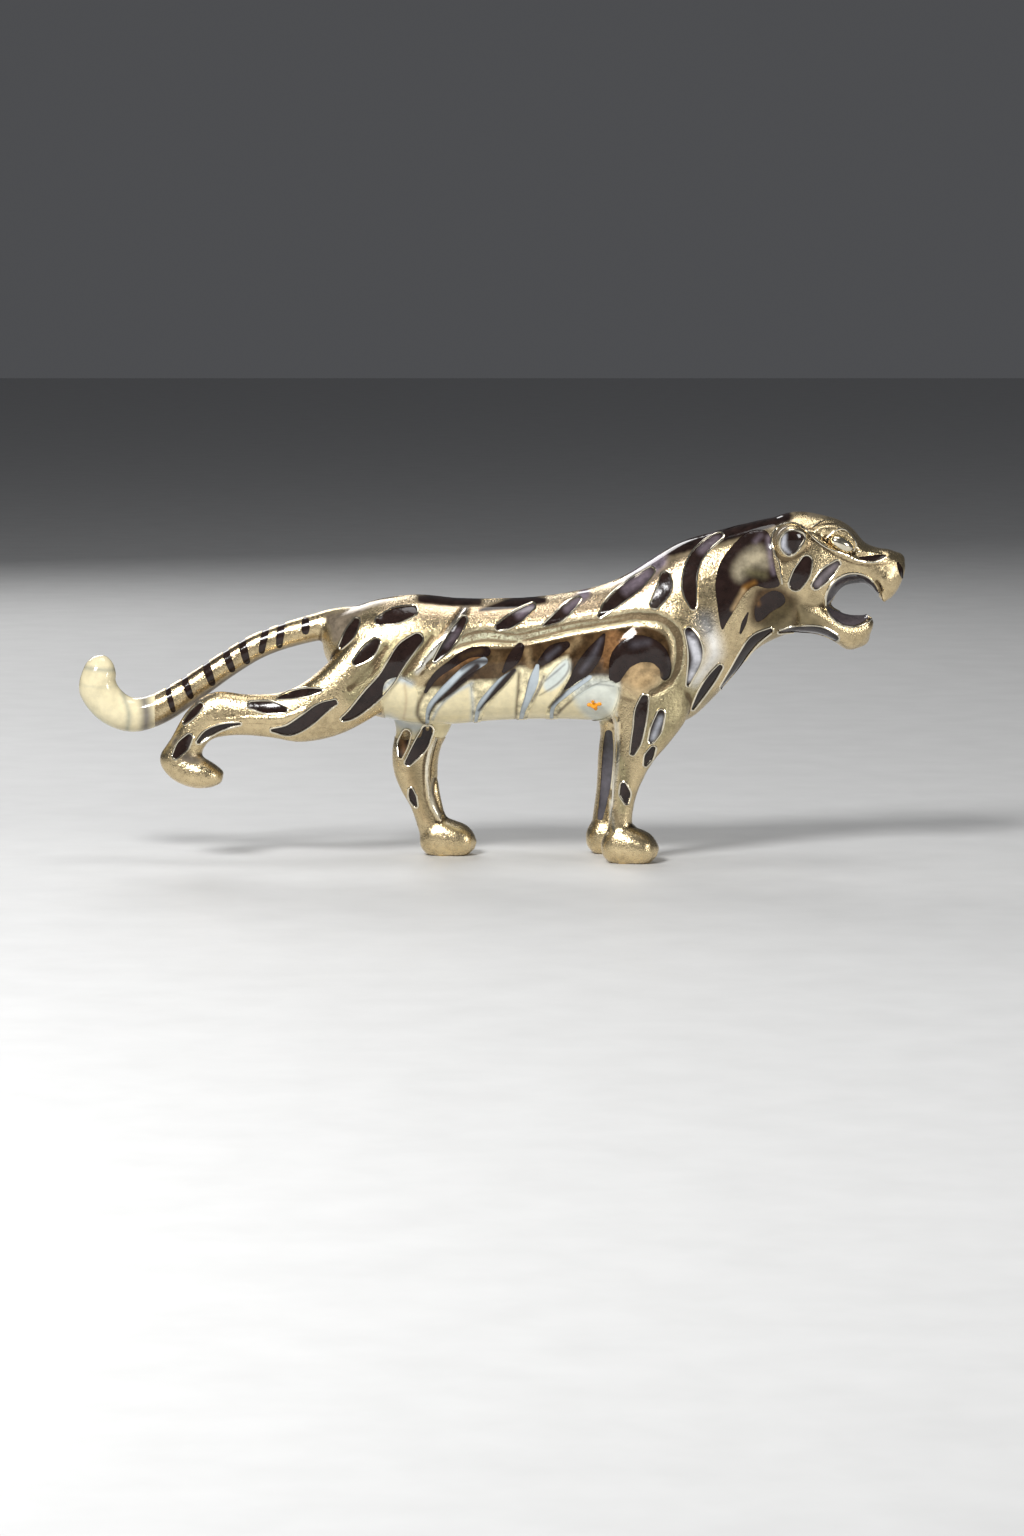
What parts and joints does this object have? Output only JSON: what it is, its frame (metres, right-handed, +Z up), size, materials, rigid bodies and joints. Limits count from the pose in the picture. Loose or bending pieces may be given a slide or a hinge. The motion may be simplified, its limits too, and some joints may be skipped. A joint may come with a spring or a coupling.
{
  "type": "hood ornament, cast and enamelled striding tiger",
  "caption": "Striding, roaring tiger mascot of pegged pale-gold castings with dark enamel stripes, a cream enamelled belly and tail tip, and tapped inserts in its three standing paws.",
  "frame": {"origin": "on the ground under the middle of the figure's bounding box", "axes": "+X towards the nose, along the figure's length; +Y towards the tiger's left side; +Z up from the soles"},
  "size_m": [0.1978, 0.0296, 0.083],
  "materials": {
    "cast_gold": "satin pale gold, finely granular, with polished rims round the stripe cells",
    "polished_gold": "polished",
    "dark_enamel": "glossy dark brown enamel with a purple tinge",
    "brown_enamel": "glossy translucent brown enamel, shading to tan",
    "pale_enamel": "glossy blue-white enamel",
    "cream_enamel": "glossy milky cream enamel",
    "amber_enamel": "glossy translucent amber enamel",
    "tip_enamel": "glossy cream enamel with grey-green rings",
    "insert_brass": "turned",
    "dowel_brass": "drawn rod"
  },
  "bodies": {
    "root": {"trunk": "cast_gold", "head": "cast_gold", "tail": "cast_gold", "tail_tip": "tip_enamel", "tail_stripes": "dark_enamel", "spine_stripes": "dark_enamel", "mouth_lining": "dark_enamel", "amber_spots": "amber_enamel", "head_dowel": "dowel_brass", "tail_dowel": "dowel_brass", "left_hind_insert": "insert_brass", "belly_panel_1": "cream_enamel", "belly_panel_2": "cream_enamel", "belly_panel_3": "cream_enamel", "belly_panel_4": "cream_enamel", "belly_panel_5": "cream_enamel", "right_eye": "polished_gold", "right_ear_fill": "dark_enamel", "right_snout_stripes": "dark_enamel", "right_cheek_stripes": "dark_enamel", "right_neck_stripes": "dark_enamel", "right_shoulder_stripes": "dark_enamel", "right_chest_stripes": "dark_enamel", "right_shoulder_arch": "brown_enamel", "right_back_stripes": "dark_enamel", "right_flank_stripes": "dark_enamel", "right_belly_crests": "pale_enamel", "right_haunch_stripes": "dark_enamel", "right_front_leg_stripes": "dark_enamel", "right_front_leg_panel": "dark_enamel", "right_hind_leg_stripes": "dark_enamel", "right_front_leg": "cast_gold", "right_hind_leg": "cast_gold", "right_front_dowel": "dowel_brass", "right_hind_dowel": "dowel_brass", "right_front_insert": "insert_brass", "left_eye": "polished_gold", "left_ear_fill": "dark_enamel", "left_snout_stripes": "dark_enamel", "left_cheek_stripes": "dark_enamel", "left_neck_stripes": "dark_enamel", "left_shoulder_stripes": "dark_enamel", "left_chest_stripes": "dark_enamel", "left_shoulder_arch": "brown_enamel", "left_back_stripes": "dark_enamel", "left_flank_stripes": "dark_enamel", "left_belly_crests": "pale_enamel", "left_haunch_stripes": "dark_enamel", "left_front_leg_stripes": "dark_enamel", "left_front_leg_panel": "dark_enamel", "left_hind_leg_stripes": "dark_enamel", "left_front_leg": "cast_gold", "left_hind_leg": "cast_gold", "left_front_dowel": "dowel_brass", "left_hind_dowel": "dowel_brass", "left_front_insert": "insert_brass"}
  },
  "joints": []
}
